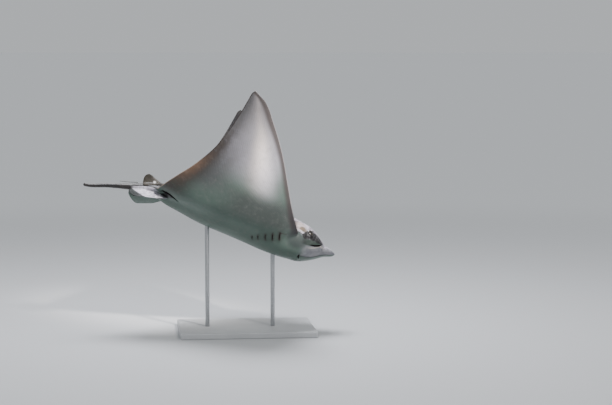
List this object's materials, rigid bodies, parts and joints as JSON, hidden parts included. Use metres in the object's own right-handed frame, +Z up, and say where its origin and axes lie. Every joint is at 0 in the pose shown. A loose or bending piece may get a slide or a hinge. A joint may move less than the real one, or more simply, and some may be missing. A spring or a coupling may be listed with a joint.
{
  "type": "spotted eagle ray",
  "caption": "Spotted eagle ray swimming nose-down with both wings raised, a still life-size model held over a flat base by upright rods.",
  "frame": {"origin": "middle of the stand base's underside", "axes": "+X along the ray's heading, +Y to the ray's left, +Z up from the surface that the base rests on"},
  "size_m": [0.9289, 0.7394, 0.9039],
  "materials": {
    "skin": "smooth wet skin, dark with white spots above, pale below",
    "spine": "bone darkened by skin and slime, faintly ribbed",
    "eye": "wet gloss",
    "stand_base": "board painted satin grey",
    "stand_rod": "brushed"
  },
  "bodies": {
    "root": {"head": "skin", "rostral_lobe": "skin", "trunk": "skin", "wing_left": "skin", "wing_right": "skin", "pelvic_fin_left": "skin", "pelvic_fin_right": "skin", "dorsal_fin": "skin", "tail_base": "skin", "tail": "skin", "tail_spine": "spine", "eye_left": "eye", "eye_right": "eye", "stand_base": "stand_base", "stand_rod_front": "stand_rod", "stand_rod_rear": "stand_rod"}
  },
  "joints": []
}
